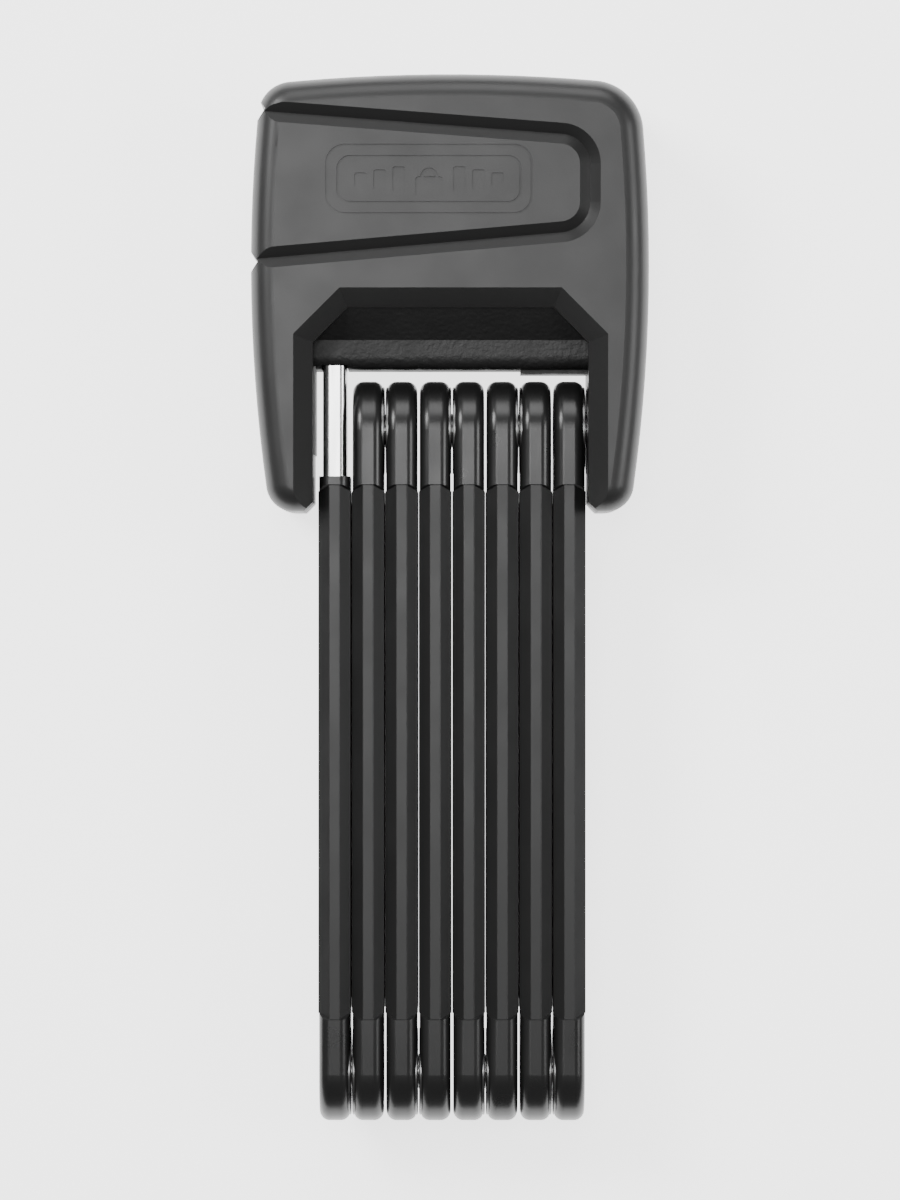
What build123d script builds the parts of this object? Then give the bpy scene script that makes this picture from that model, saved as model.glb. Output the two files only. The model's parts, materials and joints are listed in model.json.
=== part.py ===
"""A folding bike lock lying on its back: eight hinged steel bars and a lock head with an alarm.

+X runs to the right, +Y towards the crown of the head, +Z out of the front face. All hinge
axes run along X. Sizes are millimetres. The origin is under the middle of the lock, on the
surface that the head's flat back lies on.
"""

import os

from build123d import *

# ---- bars ---------------------------------------------------------------------------------
LINK_PITCH = 150.0  # rivet to rivet along one bar
LINK_COUNT = 8
LAYER_PITCH = 7.8  # bar to bar across the folded pack
PACK_SHIFT = 0.46  # the pack sits this far right of the head's middle

CORE_THICK = 5.5
CORE_WIDTH = 19.0
CORE_EDGE = 1.6  # rounding of the flat steel bar's edges
COAT_WIDTH = 23.0
SLEEVE_THICK = 7.6
SLEEVE_INSET = 0.2  # the sleeve's edge lies this far under the caps' edge
SLEEVE_BEVEL_ACROSS = 2.6
SLEEVE_BEVEL_DEEP = 1.9
SLEEVE_ROUND = 0.4
CAP_THICK = 7.2
CAP_REACH = 17.2  # radius, round the rivet, of the seam between cap and sleeve
CAP_EDGE = 2.4

# ---- hinges -------------------------------------------------------------------------------
RIVET_R = 4.0
RIVET_HEAD_R = 6.4
RIVET_HEAD_SINK = 1.3
RIVET_HEAD_PROUD = 0.35
RIVET_HEAD_ROUND = 0.3
WASHER_R = 10.2
WASHER_THICK = 1.0
WASHER_CHAMFER = 0.2
RUN_CLEAR = 0.05  # rivet shank in a turning bar
HEAD_CLEAR = 0.3  # rivet head in a turning bar's counterbore
SEAT_CLEAR = 0.3  # washers and heads in the caps' openings

# ---- head housing -------------------------------------------------------------------------
HEAD_DEPTH = 38.0
HEAD_HALF_WIDTH = 46.15
HEAD_RISE = 82.2  # crown above the upper hinge line
LEG_DROP = 19.2  # feet of the legs below the upper hinge line
CROWN_RADIUS = 400.0
SIDE_RADIUS = 374.0
SIDE_WIDEST = 38.0  # height over the hinge line where the head is widest
CROWN_FILLET_RIGHT = 12.0
CROWN_FILLET_LEFT = 8.0
FOOT_FILLET = 6.5
SHELL_EDGE = 5.5
SHELL_WALL = 2.6

OPENING_LEFT = -31.8
OPENING_RIGHT = 32.1
OPENING_TOP = 28.1
OPENING_SLANT = 8.1
BEVEL_WIDE = 4.4
BEVEL_DEEP = 4.0
FOOT_FLARE = 2.2

GROOVE_HALF = 2.4
GROOVE_DEEP = 1.7
GROOVE_BEND = 7.0
PANEL_TOP_LEFT = 74.0
PANEL_TOP_RIGHT = 67.6
PANEL_BOTTOM_LEFT = 38.6
PANEL_BOTTOM_RIGHT = 45.9
PANEL_RIGHT = 32.4

BADGE_LONG = 48.0
BADGE_TALL = 16.4
BADGE_CORNER = 4.5
BADGE_STEP = 2.6  # outer line to inner line
BADGE_LINE = 0.6
BADGE_DEEP = 0.4
BADGE_X = -4.8
BADGE_RISE = 57.4

LINER_FLOOR = 14.0  # underside of the liner above the hinge line
LINER_STEP = 20.8
LINER_HALF = 9.2
LINER_CORNER = 3.2
LINER_TOP_HALF = 14.6
LINER_DIP = 0.9  # the right quarter of the underside is this much lower
LINER_DIP_FROM = 16.5

# ---- steel frame and tongue ---------------------------------------------------------------
TONGUE_WIDTH = 16.0
TONGUE_TIP = 39.0
TONGUE_ROUND = 3.0
TONGUE_CLEAR = 0.3
TONGUE_BARE = 10.9  # the coating of bar 1 ends this far below the hinge line
NOTCH_LOW = 30.6
NOTCH_TALL = 4.6
NOTCH_DEEP = 4.2
FRAME_WALL = 3.0
OPENING_WALL = 4.0  # housing wall round the gap between the legs
BEAM_HIGH = 37.0
BEAM_HALF = 6.0
STUB_FOOT = 5.8  # the frame's left tab ends this far below the hinge line
STUB_THICK = 2.0
STUB_PROUD = 0.5
STUB_HALF = 8.0

# ---- lock cylinder, latch and keyhole cover -----------------------------------------------
CYLINDER_RISE = 51.2
HOUSING_R = 8.6
BARREL_R = 6.5
BARREL_BORE_R = 5.3
MOUTH_X = -43.0
CYLINDER_LONG = 27.0
MOUTH_WALL = 2.0
MOUTH_R = 4.6
BARREL_FACE = 1.2
TURN_CLEAR = 0.05
KEYWAY_TALL = 7.0
KEYWAY_WIDE = 2.4
DISC_COUNT = 8
DISC_THICK = 1.9
DISC_PITCH = 2.6
DISC_CLEAR = 0.1
CAM_R = 5.6
CAM_THICK = 2.4
CAM_PIN_R = 1.3
CAM_PIN_ARM = 3.2
CAM_GAP = 0.4
CAM_SLOT_CLEAR = 0.3
LATCH_THICK = 2.6
LATCH_TALL = 3.9
LATCH_BACK = 7.6
LATCH_DEEP = 3.8
LATCH_TIP_CLEAR = 0.2

COVER_LONG = 15.0
COVER_WIDE = 16.4
COVER_FACE = 0.9
COVER_FLANGE = 1.2
COVER_FLANGE_THICK = 0.7
COVER_CLEAR = 0.2
PAD_THICK = 1.6
PAD_EDGE = 2.5
COVER_TRAVEL = 13.0
COVER_RIB_COUNT = 4
COVER_RIB_PITCH = 2.0
COVER_RIB = 0.5

# ---- alarm --------------------------------------------------------------------------------
BATTERY_R = 7.8
BATTERY_LONG = 27.0
BATTERY_NUB_R = 2.8
BATTERY_NUB = 1.0
BATTERY_X = 12.0
BATTERY_RISE = 63.0
BATTERY_Z = 11.0
DOOR_LONG = 33.0
DOOR_TALL = 18.0
DOOR_THICK = 2.0
DOOR_CORNER = 2.5
DOOR_CLEAR = 0.2
DOOR_LEDGE = 1.5
BOARD_LONG = 40.0
BOARD_TALL = 35.0
BOARD_THICK = 1.6
BOARD_X = 12.0
BOARD_RISE = 55.3
BOARD_Z = 24.0
CHIP_SIZES = ((-10, 8, 6, 6, 1.2), (2, 11, 8, 5, 1.5), (11, 9, 3, 3, 1.8), (-14, -6, 4, 7, 2.2))
SIREN_R = 8.5
SIREN_TALL = 7.0
SIREN_HOLE_R = 1.6
SIREN_X = 20.0
SIREN_RISE = 46.0
GRILLE_HOLE_R = 0.9
GRILLE_RING = 4.2
GRILLE_COUNT = 6
SCREW_R = 1.5
SCREW_HEAD_R = 2.7
SCREW_HEAD = 1.6
SCREW_LONG = 24.0
SCREW_SEAT = 2.2
SOCKET_R = 1.2
BOSS_R = 3.0
HOLDER_LONG = 33.0
HOLDER_TALL = 16.6
POST_R = 2.0
POST_INSET = 3.5
SCREW_PLACES = ((-38.0, 69.0), (-38.5, 35.5), (38.0, 68.0), (40.0, 43.0))

# ---- places that follow from them ---------------------------------------------------------
MID_Z = HEAD_DEPTH / 2
END_R = COAT_WIDTH / 2
HINGE_Y = (LINK_PITCH + END_R - HEAD_RISE) / 2  # upper hinge line, the box centred on Y
FAR_Y = HINGE_Y - LINK_PITCH  # lower hinge line


def bar_x(number):
    """Middle plane of a bar. Bar 1 ends in the tongue on the left, bar 8 hangs on the head."""
    return PACK_SHIFT + (number - (LINK_COUNT + 1) / 2) * LAYER_PITCH


TONGUE_X = bar_x(1)
LUG_X = bar_x(LINK_COUNT + 1)  # the head's own hinge lug is the next layer after bar 8
CYLINDER_Y = HINGE_Y + CYLINDER_RISE
CYLINDER_END = MOUTH_X + CYLINDER_LONG
CAM_X = CYLINDER_END + CAM_GAP
LATCH_X = CAM_X + CAM_THICK + CAM_GAP
NOTCH_Y = HINGE_Y + NOTCH_LOW
BEAM_LOW = OPENING_TOP + OPENING_WALL
LATCH_Y = NOTCH_Y + (NOTCH_TALL - LATCH_TALL) / 2
CAM_OFFSET = CAM_PIN_ARM * 0.5**0.5  # the crank pin rests half-way up on the front side


def joined_high(number):
    """True where a bar's rivet to the bar on its right is on the upper hinge line."""
    return (LINK_COUNT - number) % 2 == 0


def held_y(number):
    """Hinge line of the rivet that holds this bar to the layer on its right."""
    return HINGE_Y if joined_high(number) else FAR_Y


def holding_y(number):
    """Hinge line of the rivet that this bar carries for the layer on its left."""
    return FAR_Y if joined_high(number) else HINGE_Y


def across(x):
    """Sketch plane across X, with +Y and +Z as its own axes."""
    return Plane(origin=(x, 0, 0), x_dir=(0, 1, 0), z_dir=(1, 0, 0))


def round_x(x_from, x_to, y, z, radius, mode=Mode.ADD):
    """A round along X between two places."""
    with Locations(Location(((x_from + x_to) / 2, y, z), (0, 90, 0))):
        Cylinder(radius, abs(x_to - x_from), mode=mode)


def round_z(x, y, z_from, z_to, radius, mode=Mode.ADD):
    """A round along Z between two heights."""
    with Locations((x, y, (z_from + z_to) / 2)):
        Cylinder(radius, abs(z_to - z_from), mode=mode)


def brick(x_span, y_span, z_span, mode=Mode.ADD):
    """A plain block between pairs of limits."""
    spans = (x_span, y_span, z_span)
    middle = tuple(sum(span) / 2 for span in spans)
    size = [abs(span[1] - span[0]) for span in spans]
    with Locations(middle):
        Box(*size, mode=mode)


def save(piece, name):
    piece.label = name
    export_step(piece, f"parts/{name}.step")


# ---- bars ---------------------------------------------------------------------------------
def core_blank(number):
    """Flat steel bar with rounded edges, before its rivet holes. Bar 1 has the tongue."""
    top = HINGE_Y + TONGUE_TIP
    with BuildPart() as blank:
        with BuildSketch(across(bar_x(number) - CORE_THICK / 2)):
            with Locations(((HINGE_Y + FAR_Y) / 2, MID_Z)):
                SlotCenterToCenter(LINK_PITCH, CORE_WIDTH)
            if number == 1:
                with Locations((HINGE_Y - TONGUE_BARE, MID_Z)):
                    Rectangle(LINK_PITCH, 2 * COAT_WIDTH, align=(Align.MIN, Align.CENTER), mode=Mode.SUBTRACT)
                with Locations(((FAR_Y + top) / 2, MID_Z)):
                    RectangleRounded(top - FAR_Y, TONGUE_WIDTH, TONGUE_ROUND)
        extrude(amount=CORE_THICK)
        fillet(blank.faces().filter_by(Axis.X).edges(), radius=CORE_EDGE)
    return blank.part


def bar_core(number, blank):
    """Rivet holes: pressed and counterbored on the right, running and counterbored on the left."""
    right = bar_x(number) + CORE_THICK / 2
    left = bar_x(number) - CORE_THICK / 2
    with BuildPart() as core:
        add(blank)
        y = held_y(number)
        round_x(left, right, y, MID_Z, RIVET_R + RUN_CLEAR, Mode.SUBTRACT)
        sink = RIVET_HEAD_SINK + RUN_CLEAR
        round_x(left, left + sink, y, MID_Z, RIVET_HEAD_R + HEAD_CLEAR, Mode.SUBTRACT)
        if number > 1:
            y = holding_y(number)
            round_x(left, right, y, MID_Z, RIVET_R, Mode.SUBTRACT)
            round_x(right - RIVET_HEAD_SINK, right, y, MID_Z, RIVET_HEAD_R, Mode.SUBTRACT)
        else:
            back = MID_Z - TONGUE_WIDTH / 2
            brick((left, right), (NOTCH_Y, NOTCH_Y + NOTCH_TALL), (back, back + NOTCH_DEEP), Mode.SUBTRACT)
    return core.part


def sleeve_section():
    """Half of the sleeve's outline as corner points from the front edge to the back edge."""
    half = SLEEVE_THICK / 2
    deep = END_R - SLEEVE_INSET
    ridge = half - SLEEVE_BEVEL_ACROSS
    side = deep - SLEEVE_BEVEL_DEEP
    return [(ridge, deep), (half, side), (half, -side), (ridge, -deep)]


def bar_sleeve(number, blank):
    """Middle sleeve with a narrow ridge and two bevels along its front and back edges."""
    x = bar_x(number)
    right = sleeve_section()
    left = [(-a, b) for a, b in reversed(right)]
    low = FAR_Y + CAP_REACH - END_R
    high = HINGE_Y - CAP_REACH + END_R
    with BuildPart() as sleeve:
        with BuildSketch(Plane(origin=(x, low, MID_Z), x_dir=(-1, 0, 0), z_dir=(0, 1, 0))):
            with BuildLine():
                Polyline(*right, *left, close=True)
            make_face()
        extrude(amount=high - low)
        fillet(sleeve.edges().filter_by(Axis.Y), radius=SLEEVE_ROUND)
        for y in (FAR_Y, HINGE_Y):
            round_x(x - SLEEVE_THICK, x + SLEEVE_THICK, y, MID_Z, CAP_REACH, Mode.SUBTRACT)
        add(blank, mode=Mode.SUBTRACT)
    return sleeve.part


def end_cap(number, hinge_y, blank, washer_side):
    """Hard cap round one end of a bar, with a round seam towards the sleeve."""
    x = bar_x(number)
    inward = 1 if hinge_y == FAR_Y else -1
    with BuildPart() as cap:
        with BuildSketch(across(x - CAP_THICK / 2)):
            with Locations((hinge_y, MID_Z)):
                Circle(END_R)
            with Locations((hinge_y + inward * CAP_REACH / 2, MID_Z)):
                Rectangle(CAP_REACH, COAT_WIDTH)
            with Locations((hinge_y, MID_Z)):
                Circle(CAP_REACH, mode=Mode.INTERSECT)
        extrude(amount=CAP_THICK)
        rims = cap.faces().filter_by(Axis.X).edges()
        seam = rims.filter_by(GeomType.CIRCLE).filter_by(lambda edge: edge.radius > END_R + 1)
        fillet(rims - seam, radius=CAP_EDGE)
        add(blank, mode=Mode.SUBTRACT)
        face = x + washer_side * CORE_THICK / 2
        outside = x + washer_side * CAP_THICK
        round_x(face, outside, hinge_y, MID_Z, WASHER_R + SEAT_CLEAR, Mode.SUBTRACT)
        face = x - washer_side * CORE_THICK / 2
        outside = x - washer_side * CAP_THICK
        mouth = RIVET_HEAD_R + HEAD_CLEAR + SEAT_CLEAR
        round_x(face, outside, hinge_y, MID_Z, mouth, Mode.SUBTRACT)
        if number == 1 and hinge_y == HINGE_Y:
            top = HINGE_Y + END_R
            y_span = (HINGE_Y - TONGUE_BARE, top)
            brick((x - CAP_THICK, x + CAP_THICK), y_span, (0, HEAD_DEPTH), Mode.SUBTRACT)
    return cap.part


def washer(x_from, y):
    with BuildPart() as made:
        with BuildSketch(across(x_from)):
            with Locations((y, MID_Z)):
                Circle(WASHER_R)
                Circle(RIVET_R + RUN_CLEAR, mode=Mode.SUBTRACT)
        extrude(amount=WASHER_THICK)
        rims = made.edges().filter_by(GeomType.CIRCLE).sort_by(SortBy.RADIUS)[-2:]
        chamfer(rims, length=WASHER_CHAMFER)
    return made.part


def rivet(number):
    """Rivet with two low round heads, through a bar and the layer on its right."""
    low = bar_x(number) - CORE_THICK / 2 + RIVET_HEAD_SINK
    high = bar_x(number + 1) + CORE_THICK / 2 - RIVET_HEAD_SINK
    tall = RIVET_HEAD_SINK + RIVET_HEAD_PROUD
    y = held_y(number)
    with BuildPart() as made:
        round_x(low, high, y, MID_Z, RIVET_R)
        round_x(low - tall, low, y, MID_Z, RIVET_HEAD_R)
        round_x(high, high + tall, y, MID_Z, RIVET_HEAD_R)
        ends = made.faces().filter_by(Axis.X).sort_by(Axis.X)
        fillet(ends[0].edges() + ends[-1].edges(), radius=RIVET_HEAD_ROUND)
    return made.part


def bar_washers(number):
    """The friction washers that lie on this bar's steel, one at each riveted end."""
    found = [washer(bar_x(number) + CORE_THICK / 2, held_y(number))]
    if number > 1:
        found.append(washer(bar_x(number) - CORE_THICK / 2 - WASHER_THICK, holding_y(number)))
    return Compound(children=found)


def make_bars():
    for number in range(1, LINK_COUNT + 1):
        blank = core_blank(number)
        caps = [end_cap(number, held_y(number), blank, 1), end_cap(number, holding_y(number), blank, -1)]
        save(bar_core(number, blank), f"bar_{number}_core")
        save(bar_sleeve(number, blank), f"bar_{number}_sleeve")
        save(Compound(children=caps), f"bar_{number}_end_caps")
        save(bar_washers(number), f"bar_{number}_washers")
        save(rivet(number), f"hinge_{number}_rivet")



# ---- head ---------------------------------------------------------------------------------
def head_y(rise):
    """Row Y of a height given over the upper hinge line."""
    return HINGE_Y + rise


def housing_outline(z=0.0, inset=0.0):
    """Front outline of the head: crowned top, barrel sides that taper towards the feet."""
    side_r = SIDE_RADIUS - inset
    crown_r = CROWN_RADIUS - inset
    with BuildSketch(Plane.XY.offset(z)) as outline:
        with Locations((0, head_y((HEAD_RISE - LEG_DROP) / 2))):
            Rectangle(2 * (HEAD_HALF_WIDTH - inset), HEAD_RISE + LEG_DROP - 2 * inset)
        with Locations((0, head_y(HEAD_RISE) - CROWN_RADIUS)):
            Circle(crown_r, mode=Mode.INTERSECT)
        for side in (-1, 1):
            with Locations((side * (HEAD_HALF_WIDTH - SIDE_RADIUS), head_y(SIDE_WIDEST))):
                Circle(side_r, mode=Mode.INTERSECT)
        fillet(outline.vertices().sort_by(Axis.Y)[:2], radius=FOOT_FILLET - inset)
        fillet(outline.vertices().sort_by(Axis.X)[-1], radius=CROWN_FILLET_RIGHT - inset)
        fillet(outline.vertices().sort_by(Axis.X)[0], radius=CROWN_FILLET_LEFT - inset)
    return outline.sketch


def opening_outline(z, grow=0.0, flare=0.0):
    """The gap between the legs at one height, with slanted upper corners."""
    left = OPENING_LEFT - grow
    right = OPENING_RIGHT + grow
    top = head_y(OPENING_TOP) + grow
    slant = OPENING_SLANT + grow * (2 - 2**0.5)
    foot = head_y(-LEG_DROP)
    below = foot - SHELL_EDGE
    with BuildSketch(Plane.XY.offset(z)) as gap:
        with BuildLine():
            Polyline(
                (left - flare, below),
                (left - flare, foot),
                (left, foot + FOOT_FLARE),
                (left, top - slant),
                (left + slant, top),
                (right - slant, top),
                (right, top - slant),
                (right, foot + FOOT_FLARE),
                (right + flare, foot),
                (right + flare, below),
                close=True,
            )
        make_face()
    return gap.sketch


def lock_frame():
    """Steel frame: hinge lug on the right, tongue socket and cylinder cradle on the left."""
    beam_y = (head_y(BEAM_LOW), head_y(BEAM_HIGH))
    lug_left = LUG_X - CORE_THICK / 2
    lug_right = LUG_X + CORE_THICK / 2
    hole = CORE_THICK / 2 + TONGUE_CLEAR
    wall = hole + FRAME_WALL
    pocket_half = TONGUE_WIDTH / 2 + TONGUE_CLEAR
    block_half = pocket_half + FRAME_WALL
    block_x = (TONGUE_X - wall, TONGUE_X + wall)
    stub_x = (OPENING_LEFT + STUB_PROUD - STUB_THICK, OPENING_LEFT + STUB_PROUD)
    with BuildPart() as frame:
        with BuildSketch(across(lug_left)):
            with Locations((HINGE_Y, MID_Z)):
                Circle(CORE_WIDTH / 2)
            with Locations((head_y(BEAM_HIGH / 2), MID_Z)):
                Rectangle(BEAM_HIGH, CORE_WIDTH)
        extrude(amount=CORE_THICK)
        brick((block_x[0], lug_right), beam_y, (MID_Z - BEAM_HALF, MID_Z + BEAM_HALF))
        brick(block_x, (head_y(BEAM_LOW), CYLINDER_Y), (MID_Z - block_half, MID_Z + block_half))
        brick(stub_x, (head_y(-STUB_FOOT), head_y(BEAM_HIGH)), (MID_Z - STUB_HALF, MID_Z + STUB_HALF))
        pocket_y = (HINGE_Y, head_y(TONGUE_TIP + TONGUE_CLEAR))
        pocket_z = (MID_Z - pocket_half, MID_Z + pocket_half)
        brick((TONGUE_X - hole, TONGUE_X + hole), pocket_y, pocket_z, Mode.SUBTRACT)
        passage_y = (LATCH_Y - TONGUE_CLEAR, LATCH_Y + LATCH_TALL + TONGUE_CLEAR)
        brick((TONGUE_X - hole, block_x[1]), passage_y, (0, MID_Z - BEAM_HALF), Mode.SUBTRACT)
        brick((TONGUE_X - hole, TONGUE_X + hole), passage_y, (0, MID_Z), Mode.SUBTRACT)
        round_x(block_x[0], block_x[1], CYLINDER_Y, MID_Z, HOUSING_R, Mode.SUBTRACT)
        round_x(lug_left, lug_right, HINGE_Y, MID_Z, RIVET_R, Mode.SUBTRACT)
        round_x(lug_right - RIVET_HEAD_SINK, lug_right, HINGE_Y, MID_Z, RIVET_HEAD_R, Mode.SUBTRACT)
    return frame.part


def housing_room():
    """The hollow of the housing, round the pad behind the keyhole cover and the screw bosses."""
    pad_y = (CYLINDER_Y - COVER_LONG / 2 - PAD_EDGE, CYLINDER_Y + COVER_LONG / 2 + COVER_TRAVEL + PAD_EDGE)
    pad_half = COVER_WIDE / 2 + COVER_FLANGE + PAD_EDGE
    with BuildSketch(Plane.XY.offset(SHELL_WALL)) as hollow:
        add(housing_outline(0, SHELL_WALL))
        add(opening_outline(0, OPENING_WALL), mode=Mode.SUBTRACT)
    with BuildPart() as room:
        add(hollow.sketch)
        extrude(amount=HEAD_DEPTH - 2 * SHELL_WALL)
        pad_x = (MOUTH_X - PAD_THICK, MOUTH_X + PAD_THICK)
        brick(pad_x, pad_y, (MID_Z - pad_half, MID_Z + pad_half), Mode.SUBTRACT)
        for x, rise in SCREW_PLACES:
            round_z(x, head_y(rise), 0, HEAD_DEPTH, BOSS_R, Mode.SUBTRACT)
    return room.part


def housing_half(frame, room, keep):
    """One hollow half of the housing, parted on the middle plane."""
    with BuildPart() as half:
        add(housing_outline())
        extrude(amount=HEAD_DEPTH)
        fillet(half.faces().filter_by(Axis.Z).edges(), radius=SHELL_EDGE)
        split(bisect_by=Plane.XY.offset(MID_Z), keep=keep)
        add(room, mode=Mode.SUBTRACT)
        add(opening_outline(0, flare=FOOT_FLARE))
        extrude(amount=HEAD_DEPTH, mode=Mode.SUBTRACT)
        outer, inner = (HEAD_DEPTH, HEAD_DEPTH - BEVEL_DEEP) if keep == Keep.TOP else (0, BEVEL_DEEP)
        add(opening_outline(outer, BEVEL_WIDE))
        add(opening_outline(inner))
        loft(ruled=True, mode=Mode.SUBTRACT)
        add(frame, mode=Mode.SUBTRACT)
        cut_working_room()
        for rise in (PANEL_TOP_LEFT, PANEL_BOTTOM_LEFT):
            add(side_notch(rise), mode=Mode.SUBTRACT)
    return half.part


def cut_working_room():
    """Room in the housing for the tongue, the latch, the washer, the cylinder and its cover."""
    hole = CORE_THICK / 2 + TONGUE_CLEAR
    tongue_half = TONGUE_WIDTH / 2 + TONGUE_CLEAR
    tongue_y = (HINGE_Y, head_y(TONGUE_TIP + TONGUE_CLEAR))
    tongue_z = (MID_Z - tongue_half, MID_Z + tongue_half)
    brick((TONGUE_X - hole, TONGUE_X + hole), tongue_y, tongue_z, Mode.SUBTRACT)
    latch_x = (TONGUE_X - hole, LATCH_X + LATCH_THICK + TONGUE_CLEAR)
    latch_y = (LATCH_Y - TONGUE_CLEAR, LATCH_Y + LATCH_TALL + TONGUE_CLEAR)
    brick(latch_x, latch_y, (SHELL_WALL, MID_Z), Mode.SUBTRACT)
    lug_left = LUG_X - CORE_THICK / 2
    round_x(OPENING_RIGHT - 1, lug_left, HINGE_Y, MID_Z, WASHER_R + SEAT_CLEAR, Mode.SUBTRACT)
    rivet_end = lug_left + CORE_THICK + RIVET_HEAD_PROUD + SEAT_CLEAR
    round_x(lug_left, rivet_end, HINGE_Y, MID_Z, RIVET_HEAD_R + SEAT_CLEAR, Mode.SUBTRACT)
    round_x(MOUTH_X, MOUTH_X + 2 * PAD_THICK, CYLINDER_Y, MID_Z, HOUSING_R, Mode.SUBTRACT)
    low = CYLINDER_Y - COVER_LONG / 2 - COVER_CLEAR
    high = CYLINDER_Y + COVER_LONG / 2 + COVER_TRAVEL + COVER_CLEAR
    half = COVER_WIDE / 2 + COVER_CLEAR
    brick((MOUTH_X - HEAD_HALF_WIDTH, MOUTH_X), (low, high), (MID_Z - half, MID_Z + half), Mode.SUBTRACT)
    track = half + COVER_FLANGE
    deep = COVER_FLANGE_THICK + 2 * COVER_CLEAR
    brick((MOUTH_X - deep, MOUTH_X), (low, high), (MID_Z - track, MID_Z + track), Mode.SUBTRACT)


def groove_path():
    """Middle line of the groove round the panel, out past the left side at both ends."""
    outside = -HEAD_HALF_WIDTH - SHELL_EDGE
    return FilletPolyline(
        (outside, head_y(PANEL_TOP_LEFT)),
        (PANEL_RIGHT, head_y(PANEL_TOP_RIGHT)),
        (PANEL_RIGHT, head_y(PANEL_BOTTOM_RIGHT)),
        (outside, head_y(PANEL_BOTTOM_LEFT)),
        radius=GROOVE_BEND,
    )


def groove_tool():
    """V-shaped cutter along the groove's middle line."""
    with BuildPart() as tool:
        with BuildLine(Plane.XY.offset(HEAD_DEPTH)) as path:
            groove_path()
        with BuildSketch(Plane(origin=path.line @ 0, x_dir=(0, 0, 1), z_dir=path.line % 0)):
            with BuildLine():
                Polyline((-GROOVE_DEEP, 0), (0, GROOVE_HALF), (0.5, GROOVE_HALF), (0.5, -GROOVE_HALF), (0, -GROOVE_HALF), close=True)
            make_face()
        sweep()
    return tool.part


def side_notch(rise):
    """V-shaped cutter down the left side, where one end of the groove runs out."""
    lift = head_y(rise)
    sag = (rise - SIDE_WIDEST) ** 2 / (2 * SIDE_RADIUS)
    face = sag - HEAD_HALF_WIDTH
    with BuildPart() as tool:
        with BuildSketch():
            with BuildLine():
                Polyline(
                    (face + GROOVE_DEEP, lift),
                    (face, lift + GROOVE_HALF),
                    (face - 1, lift + GROOVE_HALF),
                    (face - 1, lift - GROOVE_HALF),
                    (face, lift - GROOVE_HALF),
                    close=True,
                )
            make_face()
        extrude(amount=HEAD_DEPTH)
    return tool.part


def badge_lines():
    """Plain badge: two rounded frames, a padlock sign and a row of bars at either side of it."""
    with BuildSketch(Plane.XY.offset(HEAD_DEPTH - BADGE_DEEP)) as lines:
        with Locations((BADGE_X, head_y(BADGE_RISE))):
            for inset in (0, BADGE_STEP):
                long = BADGE_LONG - 2 * inset
                tall = BADGE_TALL - 2 * inset
                corner = BADGE_CORNER - inset / 2
                RectangleRounded(long, tall, corner)
                inner = corner - BADGE_LINE
                RectangleRounded(long - 2 * BADGE_LINE, tall - 2 * BADGE_LINE, inner, mode=Mode.SUBTRACT)
        with Locations((BADGE_X, head_y(BADGE_RISE + 0.6))):
            Circle(2.1)
            Circle(1.3, mode=Mode.SUBTRACT)
        with Locations((BADGE_X, head_y(BADGE_RISE - 1.6))):
            RectangleRounded(6.4, 4.6, 0.8)
        for side in (-1, 1):
            for step in range(3):
                with Locations((BADGE_X + side * (7.0 + 4.4 * step), head_y(BADGE_RISE))):
                    RectangleRounded(3.0, 6.0 - 1.4 * step, 0.6)
    return lines.sketch


def front_shell(half):
    with BuildPart() as shell:
        add(half)
        add(groove_tool(), mode=Mode.SUBTRACT)
        add(badge_lines())
        extrude(amount=BADGE_DEEP, mode=Mode.SUBTRACT)
        for x, y in board_corners():
            round_z(x, y, BOARD_Z + BOARD_THICK, HEAD_DEPTH - SHELL_WALL, POST_R)
        for x, rise in SCREW_PLACES:
            round_z(x, head_y(rise), MID_Z, SCREW_SEAT + SCREW_LONG, SCREW_R, Mode.SUBTRACT)
    return shell.part


def rear_shell(half):
    door_y = head_y(BATTERY_RISE)
    with BuildPart() as shell:
        add(half)
        with BuildSketch():
            with Locations((BATTERY_X, door_y)):
                RectangleRounded(DOOR_LONG + 2 * DOOR_CLEAR, DOOR_TALL + 2 * DOOR_CLEAR, DOOR_CORNER)
        extrude(amount=DOOR_THICK, mode=Mode.SUBTRACT)
        with BuildSketch():
            with Locations((BATTERY_X, door_y)):
                RectangleRounded(DOOR_LONG - 2 * DOOR_LEDGE, DOOR_TALL - 2 * DOOR_LEDGE, DOOR_CORNER)
        extrude(amount=SHELL_WALL, mode=Mode.SUBTRACT)
        with BuildSketch():
            with Locations((SIREN_X, head_y(SIREN_RISE))):
                Circle(GRILLE_HOLE_R)
                with PolarLocations(GRILLE_RING, GRILLE_COUNT):
                    Circle(GRILLE_HOLE_R)
        extrude(amount=SHELL_WALL, mode=Mode.SUBTRACT)
        for x, rise in SCREW_PLACES:
            round_z(x, head_y(rise), 0, MID_Z, SCREW_R + RUN_CLEAR, Mode.SUBTRACT)
            round_z(x, head_y(rise), 0, SCREW_SEAT, SCREW_HEAD_R + DOOR_CLEAR, Mode.SUBTRACT)
    return shell.part


def board_corners():
    """Places of the four posts that carry the circuit board."""
    half_long = BOARD_LONG / 2 - POST_INSET
    half_tall = BOARD_TALL / 2 - POST_INSET
    signs = ((-1, -1), (-1, 1), (1, -1), (1, 1))
    return [(BOARD_X + a * half_long, head_y(BOARD_RISE) + b * half_tall) for a, b in signs]


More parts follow.
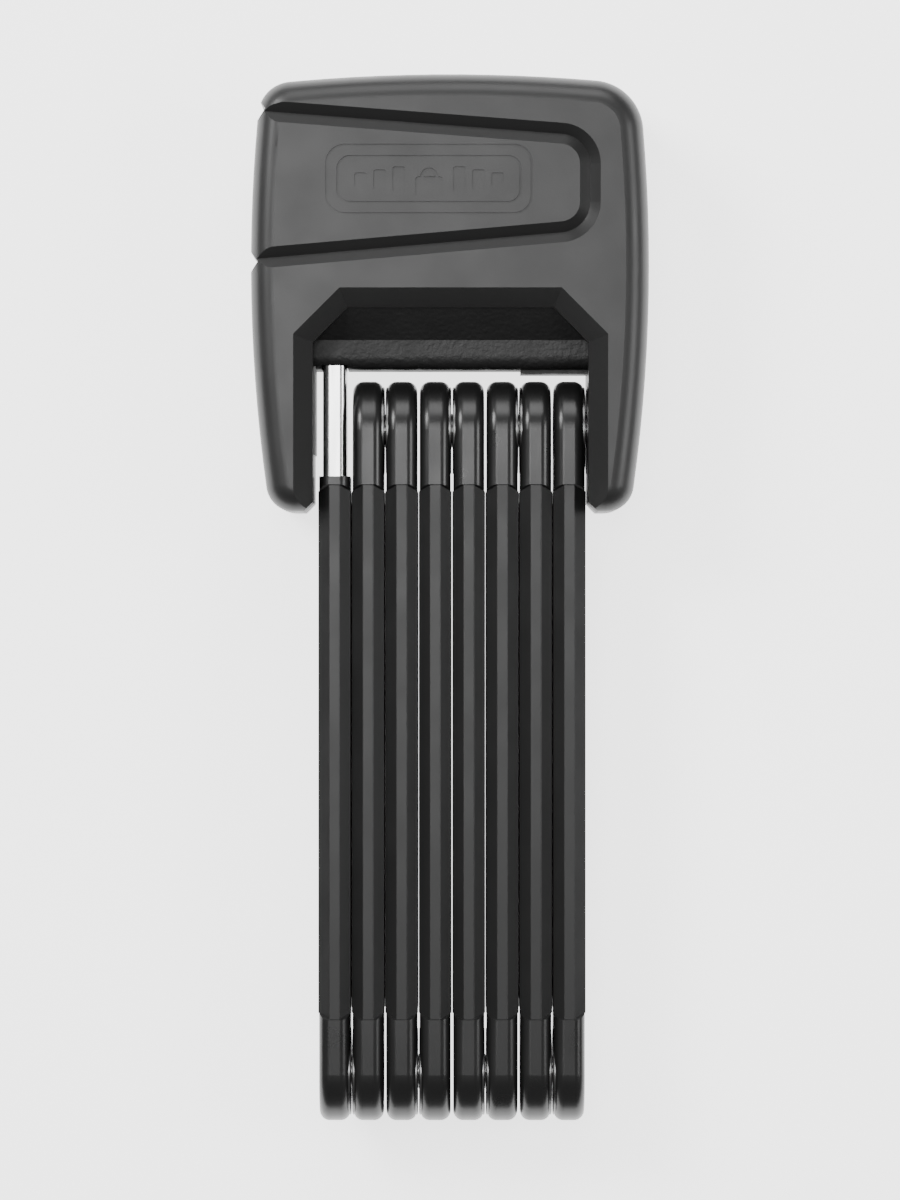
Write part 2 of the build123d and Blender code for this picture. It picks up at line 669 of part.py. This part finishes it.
def bay_liner(frame):
    """Soft liner under the roof between the legs, with the tongue's slot."""
    low = head_y(LINER_FLOOR)
    with BuildPart() as liner:
        with BuildSketch(across(OPENING_LEFT)) as side:
            with BuildLine():
                Polyline(
                    (low, MID_Z - LINER_HALF),
                    (head_y(LINER_STEP), MID_Z - LINER_HALF),
                    (head_y(OPENING_TOP), MID_Z - LINER_TOP_HALF),
                    (head_y(OPENING_TOP), MID_Z + LINER_TOP_HALF),
                    (head_y(LINER_STEP), MID_Z + LINER_HALF),
                    (low, MID_Z + LINER_HALF),
                    close=True,
                )
            make_face()
            fillet(side.vertices().group_by(Axis.X)[0], radius=LINER_CORNER)
        extrude(amount=OPENING_RIGHT - OPENING_LEFT)
        dip_half = LINER_HALF - LINER_CORNER
        brick((LINER_DIP_FROM, OPENING_RIGHT), (low - LINER_DIP, low + 1), (MID_Z - dip_half, MID_Z + dip_half))
        add(opening_outline(0))
        extrude(amount=HEAD_DEPTH, mode=Mode.INTERSECT)
        add(frame, mode=Mode.SUBTRACT)
        hole = CORE_THICK / 2 + TONGUE_CLEAR
        half = TONGUE_WIDTH / 2 + TONGUE_CLEAR
        slot_y = (low - 1, head_y(OPENING_TOP) + 1)
        brick((TONGUE_X - hole, TONGUE_X + hole), slot_y, (MID_Z - half, MID_Z + half), Mode.SUBTRACT)
    return liner.part


def cylinder_housing():
    with BuildPart() as housing:
        round_x(MOUTH_X, CYLINDER_END, CYLINDER_Y, MID_Z, HOUSING_R)
        bore = BARREL_R + TURN_CLEAR
        round_x(MOUTH_X + MOUTH_WALL, CYLINDER_END, CYLINDER_Y, MID_Z, bore, Mode.SUBTRACT)
        round_x(MOUTH_X, CYLINDER_END, CYLINDER_Y, MID_Z, MOUTH_R + TURN_CLEAR, Mode.SUBTRACT)
    return housing.part


def keyway(x_from, x_to):
    """Flat slot for the key, through the barrel's face or a disc."""
    tall = (CYLINDER_Y - KEYWAY_TALL / 2, CYLINDER_Y + KEYWAY_TALL / 2)
    wide = (MID_Z - KEYWAY_WIDE / 2, MID_Z + KEYWAY_WIDE / 2)
    brick((x_from, x_to), tall, wide, Mode.SUBTRACT)


def cylinder_barrel():
    """Turning barrel with the keyway in its face, and the cam with its crank pin behind."""
    inner = MOUTH_X + MOUTH_WALL
    bore = inner + BARREL_FACE
    back = CYLINDER_END - MOUTH_WALL
    pin_y = CYLINDER_Y + CAM_OFFSET
    pin_z = MID_Z + CAM_OFFSET
    with BuildPart() as barrel:
        round_x(MOUTH_X, inner, CYLINDER_Y, MID_Z, MOUTH_R)
        round_x(inner, CYLINDER_END, CYLINDER_Y, MID_Z, BARREL_R)
        round_x(bore, back, CYLINDER_Y, MID_Z, BARREL_BORE_R, Mode.SUBTRACT)
        keyway(MOUTH_X, bore)
        round_x(CYLINDER_END, CAM_X, CYLINDER_Y, MID_Z, MOUTH_R)
        round_x(CAM_X, CAM_X + CAM_THICK, CYLINDER_Y, MID_Z, CAM_R)
        round_x(CAM_X + CAM_THICK, LATCH_X + LATCH_THICK, pin_y, pin_z, CAM_PIN_R)
    return barrel.part


def lock_discs():
    first = MOUTH_X + MOUTH_WALL + BARREL_FACE + DISC_CLEAR
    discs = []
    for index in range(DISC_COUNT):
        start = first + index * DISC_PITCH
        with BuildPart() as one:
            round_x(start, start + DISC_THICK, CYLINDER_Y, MID_Z, BARREL_BORE_R)
            keyway(start, start + DISC_THICK)
        discs.append(one.part)
    return Compound(children=discs)


def latch_bolt():
    """Sliding bolt: crank plate, leg and arm behind the frame, finger in the tongue's notch."""
    plate_x = (LATCH_X, LATCH_X + LATCH_THICK)
    slot_half = CAM_PIN_R + CAM_SLOT_CLEAR
    slot_low = CYLINDER_Y + CAM_OFFSET - slot_half
    slot_high = CYLINDER_Y + CAM_PIN_ARM + slot_half
    slot_z = MID_Z + CAM_OFFSET
    rim = LATCH_THICK - 2 * CAM_SLOT_CLEAR
    top_z = slot_z + slot_half + rim
    front = LATCH_BACK + LATCH_DEEP
    finger_half = CORE_THICK / 2 - TONGUE_CLEAR
    arm_y = (LATCH_Y, LATCH_Y + LATCH_TALL)
    tip = MID_Z - TONGUE_WIDTH / 2 + NOTCH_DEEP - LATCH_TIP_CLEAR
    with BuildPart() as bolt:
        brick(plate_x, (slot_low - 2 * rim, slot_high + rim), (LATCH_BACK, top_z))
        brick(plate_x, (LATCH_Y, slot_low), (LATCH_BACK, front))
        brick((TONGUE_X - finger_half, plate_x[1]), arm_y, (LATCH_BACK, front))
        brick((TONGUE_X - finger_half, TONGUE_X + finger_half), arm_y, (LATCH_BACK, tip))
        brick(plate_x, (slot_low, slot_high), (slot_z - slot_half, slot_z + slot_half), Mode.SUBTRACT)
    return bolt.part


def keyhole_cover():
    """Sliding cover in its track over the keyhole, with finger ribs."""
    y_span = (CYLINDER_Y - COVER_LONG / 2, CYLINDER_Y + COVER_LONG / 2)
    base = MOUTH_X - COVER_CLEAR
    face = base - COVER_FLANGE_THICK - COVER_FACE
    half = COVER_WIDE / 2
    foot = half + COVER_FLANGE
    with BuildPart() as cover:
        brick((face, base), y_span, (MID_Z - half, MID_Z + half))
        brick((base - COVER_FLANGE_THICK, base), y_span, (MID_Z - foot, MID_Z + foot))
        for index in range(COVER_RIB_COUNT):
            y = CYLINDER_Y + (index - (COVER_RIB_COUNT - 1) / 2) * COVER_RIB_PITCH
            rib_z = half - 2 * COVER_FLANGE
            brick((face - COVER_RIB, face), (y - COVER_RIB, y + COVER_RIB), (MID_Z - rib_z, MID_Z + rib_z))
    return cover.part


def battery():
    y = head_y(BATTERY_RISE)
    left = BATTERY_X - BATTERY_LONG / 2
    right = BATTERY_X + BATTERY_LONG / 2
    with BuildPart() as cell:
        round_x(left, right, y, BATTERY_Z, BATTERY_R)
        fillet(cell.faces().filter_by(Axis.X).edges(), radius=0.6)
        round_x(right, right + BATTERY_NUB, y, BATTERY_Z, BATTERY_NUB_R)
    return cell.part


def battery_holder():
    """Open tray on the board that the battery lies in."""
    y = head_y(BATTERY_RISE)
    y_span = (y - HOLDER_TALL / 2, y + HOLDER_TALL / 2)
    left = BATTERY_X - BATTERY_LONG / 2
    right = BATTERY_X + BATTERY_LONG / 2 + BATTERY_NUB
    with BuildPart() as tray:
        brick((BATTERY_X - HOLDER_LONG / 2, BATTERY_X + HOLDER_LONG / 2), y_span, (BATTERY_Z, BOARD_Z))
        round_x(left, right, y, BATTERY_Z, BATTERY_R, Mode.SUBTRACT)
    return tray.part


def battery_door():
    with BuildPart() as door:
        with BuildSketch():
            with Locations((BATTERY_X, head_y(BATTERY_RISE))):
                RectangleRounded(DOOR_LONG, DOOR_TALL, DOOR_CORNER - DOOR_CLEAR)
        extrude(amount=DOOR_THICK)
        with BuildSketch():
            with Locations((BATTERY_X - DOOR_LONG / 2 + DOOR_CORNER + DOOR_LEDGE, head_y(BATTERY_RISE))):
                SlotOverall(DOOR_TALL / 2, DOOR_LEDGE, rotation=90)
        extrude(amount=DOOR_THICK / 2, mode=Mode.SUBTRACT)
    return door.part


def circuit_board():
    with BuildPart() as board:
        with BuildSketch(Plane.XY.offset(BOARD_Z)):
            with Locations((BOARD_X, head_y(BOARD_RISE))):
                RectangleRounded(BOARD_LONG, BOARD_TALL, 1.0)
        extrude(amount=BOARD_THICK)
    return board.part


def board_chips():
    """Chips on the board's front side."""
    face = BOARD_Z + BOARD_THICK
    chips = []
    for across_x, up, long, tall, thick in CHIP_SIZES:
        x = BOARD_X + across_x
        y = head_y(BOARD_RISE) + up
        with BuildPart() as chip:
            brick((x - long / 2, x + long / 2), (y - tall / 2, y + tall / 2), (face, face + thick))
        chips.append(chip.part)
    return Compound(children=chips)


def siren():
    y = head_y(SIREN_RISE)
    with BuildPart() as horn:
        round_z(SIREN_X, y, BOARD_Z - SIREN_TALL, BOARD_Z, SIREN_R)
        fillet(horn.faces().sort_by(Axis.Z)[0].edges(), radius=0.8)
        round_z(SIREN_X, y, BOARD_Z - SIREN_TALL, BOARD_Z - 1, SIREN_HOLE_R, Mode.SUBTRACT)
    return horn.part


def shell_screws():
    """Four screws from the rear through both shells' bosses."""
    screws = []
    for x, rise in SCREW_PLACES:
        y = head_y(rise)
        with BuildPart() as screw:
            round_z(x, y, SCREW_SEAT - SCREW_HEAD, SCREW_SEAT, SCREW_HEAD_R)
            round_z(x, y, SCREW_SEAT, SCREW_SEAT + SCREW_LONG, SCREW_R)
            with BuildSketch(Plane.XY.offset(SCREW_SEAT - SCREW_HEAD)):
                with Locations((x, y)):
                    RegularPolygon(SOCKET_R, 6)
            extrude(amount=SCREW_HEAD * 0.75, mode=Mode.SUBTRACT)
        screws.append(screw.part)
    return Compound(children=screws)


def make_head():
    frame = lock_frame()
    room = housing_room()
    save(frame, "lock_frame")
    save(front_shell(housing_half(frame, room, Keep.TOP)), "front_shell")
    save(rear_shell(housing_half(frame, room, Keep.BOTTOM)), "rear_shell")
    save(bay_liner(frame), "bay_liner")
    save(washer(LUG_X - CORE_THICK / 2 - WASHER_THICK, HINGE_Y), "head_washer")
    save(cylinder_housing(), "cylinder_housing")
    save(cylinder_barrel(), "cylinder_barrel")
    save(lock_discs(), "lock_discs")
    save(latch_bolt(), "latch_bolt")
    save(keyhole_cover(), "keyhole_cover")
    save(battery(), "battery")
    save(battery_holder(), "battery_holder")
    save(battery_door(), "battery_door")
    save(circuit_board(), "circuit_board")
    save(board_chips(), "board_chips")
    save(siren(), "siren")
    save(shell_screws(), "shell_screws")


os.makedirs("parts", exist_ok=True)
make_bars()
make_head()
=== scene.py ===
# %% [markdown]
# # A folding bike lock, lying on its back
# The steel bars, hinges and lock head arrive as a finished frame. What is left is their
# surface: moulded plastic, soft sleeves and bare steel. Every finish is made of nodes that
# read the place on the piece, so it stays put when the bars swing open.

# %% Load the frame
import json

import bpy
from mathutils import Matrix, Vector


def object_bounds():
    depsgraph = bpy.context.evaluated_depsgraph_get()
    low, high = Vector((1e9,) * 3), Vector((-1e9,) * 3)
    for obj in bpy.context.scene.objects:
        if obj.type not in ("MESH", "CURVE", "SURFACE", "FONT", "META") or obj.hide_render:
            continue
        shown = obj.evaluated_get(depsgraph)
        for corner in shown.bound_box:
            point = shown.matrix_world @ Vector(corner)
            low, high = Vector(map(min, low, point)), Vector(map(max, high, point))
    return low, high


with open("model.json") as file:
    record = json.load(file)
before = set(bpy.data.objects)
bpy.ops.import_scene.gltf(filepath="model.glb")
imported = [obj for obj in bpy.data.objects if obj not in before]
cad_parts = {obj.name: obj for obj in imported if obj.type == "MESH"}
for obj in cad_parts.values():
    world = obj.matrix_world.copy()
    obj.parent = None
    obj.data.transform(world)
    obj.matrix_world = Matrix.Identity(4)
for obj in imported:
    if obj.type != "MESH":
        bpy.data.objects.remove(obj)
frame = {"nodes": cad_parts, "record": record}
cad_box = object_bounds()
nodes = frame["nodes"]
print("CAD box", cad_box)

# %% [markdown]
# ## Moulded grain
# A moulded part takes the fine spark-eroded grain of its tool, and its colour drifts a little
# from gate to rim. Every plastic and rubber here has both, at its own size, so the effect is
# made once as a group that puts out a colour, a roughness and a height.

# %% Group sockets
OUTPUTS = (
    ("Colour", "NodeSocketColor"),
    ("Roughness", "NodeSocketFloat"),
    ("Height", "NodeSocketFloat"),
)


def add_sockets(group, inputs):
    """Gives a node group its named inputs, with their usual values, and the three outputs."""
    for name, kind, value in inputs:
        made = group.interface.new_socket(name=name, in_out="INPUT", socket_type=kind)
        made.default_value = value
    for name, kind in OUTPUTS:
        group.interface.new_socket(name=name, in_out="OUTPUT", socket_type=kind)


# %% Noise read from the place on the piece
def place_noise(tree, scale, detail=3.0, stretch=(1, 1, 1)):
    """A noise texture on Object coordinates. scale is a number or an output socket."""
    place = tree.nodes.new("ShaderNodeTexCoord")
    mapping = tree.nodes.new("ShaderNodeMapping")
    mapping.inputs["Scale"].default_value = stretch
    noise = tree.nodes.new("ShaderNodeTexNoise")
    noise.inputs["Detail"].default_value = detail
    tree.links.new(place.outputs["Object"], mapping.inputs["Vector"])
    tree.links.new(mapping.outputs["Vector"], noise.inputs["Vector"])
    if isinstance(scale, (int, float)):
        noise.inputs["Scale"].default_value = scale
    else:
        tree.links.new(scale, noise.inputs["Scale"])
    return noise.outputs["Fac"]


# %% A range of values from a noise
NOISE_LOW = 0.3
NOISE_HIGH = 0.7


def spread(tree, value, low, high):
    """Maps the middle of a noise to a range. low and high are numbers or sockets."""
    ranged = tree.nodes.new("ShaderNodeMapRange")
    ranged.inputs["From Min"].default_value = NOISE_LOW
    ranged.inputs["From Max"].default_value = NOISE_HIGH
    tree.links.new(value, ranged.inputs["Value"])
    for name, limit in (("To Min", low), ("To Max", high)):
        if isinstance(limit, (int, float)):
            ranged.inputs[name].default_value = limit
        else:
            tree.links.new(limit, ranged.inputs[name])
    return ranged.outputs["Result"]


# %% The moulded grain group
MIX_A, MIX_B = 6, 7  # the colour inputs of a mix node, which share their names with others
MIX_COLOUR = 2  # its colour output
DRIFT_SCALE = 25.0
HANDLED_SCALE = 90.0
moulded = bpy.data.node_groups.new("moulded_grain", "ShaderNodeTree")
add_sockets(
    moulded,
    [
        ("Deep colour", "NodeSocketColor", (0.02, 0.02, 0.02, 1)),
        ("Pale colour", "NodeSocketColor", (0.04, 0.04, 0.04, 1)),
        ("Smoothest", "NodeSocketFloat", 0.35),
        ("Roughest", "NodeSocketFloat", 0.5),
        ("Grain scale", "NodeSocketFloat", 1800.0),
    ],
)
given = moulded.nodes.new("NodeGroupInput")
result = moulded.nodes.new("NodeGroupOutput")
drift = place_noise(moulded, DRIFT_SCALE)
tint = moulded.nodes.new("ShaderNodeMix")
tint.data_type = "RGBA"
moulded.links.new(spread(moulded, drift, 0.0, 1.0), tint.inputs["Factor"])
moulded.links.new(given.outputs["Deep colour"], tint.inputs[MIX_A])
moulded.links.new(given.outputs["Pale colour"], tint.inputs[MIX_B])
moulded.links.new(tint.outputs[MIX_COLOUR], result.inputs["Colour"])
handled = place_noise(moulded, HANDLED_SCALE)
dull = spread(moulded, handled, given.outputs["Smoothest"], given.outputs["Roughest"])
moulded.links.new(dull, result.inputs["Roughness"])
moulded.links.new(place_noise(moulded, given.outputs["Grain scale"]), result.inputs["Height"])
print("group", moulded.name, "inputs", len(given.outputs) - 1)

# %% [markdown]
# ## Drawn steel
# Bar and plate keep the lines of the rolls and the belt that finished them. Noise stretched
# along the bar gives those lines, and drives both the roughness and a very shallow height.

# %% The drawn steel group
LINE_SCALE = 900.0
LINE_DETAIL = 4.0
LINE_STRETCH = (1, 0.04, 1)  # drawn out along the bars, which run along Y
drawn = bpy.data.node_groups.new("drawn_lines", "ShaderNodeTree")
add_sockets(
    drawn,
    [
        ("Deep colour", "NodeSocketColor", (0.5, 0.5, 0.5, 1)),
        ("Pale colour", "NodeSocketColor", (0.7, 0.7, 0.7, 1)),
        ("Smoothest", "NodeSocketFloat", 0.18),
        ("Roughest", "NodeSocketFloat", 0.35),
    ],
)
given = drawn.nodes.new("NodeGroupInput")
result = drawn.nodes.new("NodeGroupOutput")
lines = place_noise(drawn, LINE_SCALE, LINE_DETAIL, LINE_STRETCH)
tint = drawn.nodes.new("ShaderNodeMix")
tint.data_type = "RGBA"
drawn.links.new(spread(drawn, lines, 0.0, 1.0), tint.inputs["Factor"])
drawn.links.new(given.outputs["Deep colour"], tint.inputs[MIX_A])
drawn.links.new(given.outputs["Pale colour"], tint.inputs[MIX_B])
drawn.links.new(tint.outputs[MIX_COLOUR], result.inputs["Colour"])
dull = spread(drawn, lines, given.outputs["Smoothest"], given.outputs["Roughest"])
drawn.links.new(dull, result.inputs["Roughness"])
drawn.links.new(lines, result.inputs["Height"])
print("group", drawn.name, "inputs", len(given.outputs) - 1)

# %% [markdown]
# ## From a group to a finish
# A finish is one shader with one of the groups in front of it. The values that are the same
# all over, such as how metallic it is, are set on the shader itself.

# %% Make a finish
def finish(
    name, group, deep, pale, smooth, rough, metallic=0.0, bump=0.1, depth=0.00002, grain=None
):
    """A material whose colour, roughness and relief come from a group. Colours are greys or RGB."""
    material = bpy.data.materials.new(name)
    material.use_nodes = True
    tree = material.node_tree
    shader = tree.nodes["Principled BSDF"]
    shader.inputs["Metallic"].default_value = metallic
    effect = tree.nodes.new("ShaderNodeGroup")
    effect.node_tree = group
    for socket, colour in (("Deep colour", deep), ("Pale colour", pale)):
        rgb = (colour,) * 3 if isinstance(colour, float) else colour
        effect.inputs[socket].default_value = (*rgb, 1)
    effect.inputs["Smoothest"].default_value = smooth
    effect.inputs["Roughest"].default_value = rough
    if grain:
        effect.inputs["Grain scale"].default_value = grain
    relief = tree.nodes.new("ShaderNodeBump")
    relief.inputs["Strength"].default_value = bump
    relief.inputs["Distance"].default_value = depth
    tree.links.new(effect.outputs["Colour"], shader.inputs["Base Color"])
    tree.links.new(effect.outputs["Roughness"], shader.inputs["Roughness"])
    tree.links.new(effect.outputs["Height"], relief.inputs["Height"])
    tree.links.new(relief.outputs["Normal"], shader.inputs["Normal"])
    return material


# %% [markdown]
# ## The finishes of this lock
# The housing is a dark grey glass-filled plastic, satin from a fine grain. The caps on the
# bars' ends are harder and blacker, the sleeves are a soft black moulding, and the liner
# between the legs is the roughest. The steel is bright on the tongue and washers, and dark
# where it is plated for the inside.

# %% Plastics and rubbers
finishes = {
    "shell": finish(
        "housing_plastic", moulded, 0.0135, 0.0150, 0.36, 0.40,
        bump=0.2, depth=0.00003, grain=2200.0,
    ),
    "cover": finish("cover_plastic", moulded, 0.009, 0.011, 0.34, 0.44, grain=2600.0),
    "end_cap": finish("cap_plastic", moulded, 0.0070, 0.0085, 0.27, 0.33, grain=2600.0),
    "sleeve": finish(
        "sleeve_rubber", moulded, 0.0055, 0.0070, 0.34, 0.40, bump=0.15, grain=2000.0
    ),
    "liner": finish(
        "liner_rubber", moulded, 0.004, 0.008, 0.45, 0.6, bump=0.9, depth=0.00025, grain=900.0
    ),
    "holder": finish("holder_plastic", moulded, 0.03, 0.05, 0.4, 0.5),
    "chips": finish("chip_resin", moulded, 0.01, 0.02, 0.3, 0.4),
    "siren": finish("siren_plastic", moulded, 0.01, 0.02, 0.2, 0.3),
    "battery": finish("battery_wrap", moulded, (0.03, 0.10, 0.20), (0.04, 0.13, 0.25), 0.2, 0.3),
    "board": finish("board_mask", moulded, (0.01, 0.08, 0.03), (0.02, 0.11, 0.04), 0.2, 0.35),
}

# %% Metals
finishes["link_steel"] = finish("link_steel", drawn, 0.55, 0.72, 0.16, 0.30, metallic=1.0)
finishes["washer"] = finish("washer_steel", drawn, 0.12, 0.2, 0.25, 0.35, metallic=1.0)
finishes["rivet"] = finish("rivet_steel", drawn, 0.35, 0.5, 0.25, 0.4, metallic=1.0)
finishes["frame_steel"] = finish("frame_steel", drawn, 0.10, 0.16, 0.3, 0.45, metallic=1.0)
finishes["screw"] = finish("screw_steel", drawn, 0.12, 0.2, 0.25, 0.4, metallic=1.0)
finishes["cylinder"] = finish(
    "cylinder_brass", drawn, (0.45, 0.34, 0.15), (0.6, 0.47, 0.22), 0.2, 0.35, metallic=1.0
)
print("finishes", len(finishes))

# %% [markdown]
# ## Dress each piece
# The record says which material slot each piece has, so the finishes are shared out by it and
# no piece can be missed.

# %% Share out the finishes
for part in frame["record"]["subparts"]:
    piece = nodes[part["node"]]
    chosen = finishes[part["material_slot"]]
    if not piece.material_slots:
        piece.data.materials.append(chosen)
    for place in piece.material_slots:
        place.material = chosen

# %% [markdown]
# ## Floor
# The lock lies on a pale light table. The gaps between bars and legs show it, and the dark
# plastic gets thin bright rims from the side.

# %% The light table
FLOOR_SIDE = 8.0
FLOOR_GLOW = 2.4
bpy.ops.mesh.primitive_plane_add(size=FLOOR_SIDE, location=(0, 0, cad_box[0][2]))
floor = bpy.context.object
floor.name = "floor"
paper = bpy.data.materials.new("floor_white")
paper.use_nodes = True
paper_shader = paper.node_tree.nodes["Principled BSDF"]
paper_shader.inputs["Base Color"].default_value = (0.9, 0.9, 0.9, 1)
paper_shader.inputs["Roughness"].default_value = 0.9
paper_shader.inputs["Emission Color"].default_value = (1, 1, 1, 1)
paper_shader.inputs["Emission Strength"].default_value = FLOOR_GLOW
floor.data.materials.append(paper)

# %% [markdown]
# ## Light
# Large soft boxes hang over the lock: one big one above and to the left, a weaker one to the
# right and one beyond the crown. Broad lights draw the long highlights along the bars' ridges.

# %% Soft boxes
WORLD_GLOW = 0.22


def soft_box(name, place, side, watts):
    """A square area light that faces the middle of the lock. Sizes are in metres."""
    data = bpy.data.lights.new(name, "AREA")
    data.size = side
    data.energy = watts
    lamp = bpy.data.objects.new(name, data)
    lamp.location = place
    lamp.rotation_euler = (-Vector(place)).to_track_quat("-Z", "Y").to_euler()
    bpy.context.scene.collection.objects.link(lamp)


soft_box("box_left", (-0.9, 0.7, 1.1), 0.6, 22.0)
soft_box("box_right", (1.0, 0.1, 0.9), 0.5, 6.0)
soft_box("box_crown", (0.1, 1.2, 0.9), 0.8, 9.0)
soft_box("box_above", (-0.15, 0.2, 1.8), 0.5, 9.0)
world = bpy.data.worlds.new("studio")
world.use_nodes = True
sky = world.node_tree.nodes["Background"]
sky.inputs["Color"].default_value = (1, 1, 1, 1)
sky.inputs["Strength"].default_value = WORLD_GLOW
bpy.context.scene.world = world

# %% [markdown]
# ## Camera
# A long lens looks straight down from well above, so the bars stay parallel and both legs'
# inner sides only just show.

# %% The camera
VIEW_TALL = 0.2787  # height of the picture on the lock's front, in metres
FRONT_Z = 0.030
DISTANCE = 1.25
SENSOR = 36.0
lens = bpy.data.cameras.new("camera")
lens.sensor_width = SENSOR
lens.lens = SENSOR * DISTANCE / VIEW_TALL
camera = bpy.data.objects.new("camera", lens)
camera.location = (0, 0, FRONT_Z + DISTANCE)
bpy.context.scene.collection.objects.link(camera)
bpy.context.scene.camera = camera
print("lens", round(lens.lens, 1), "mm")
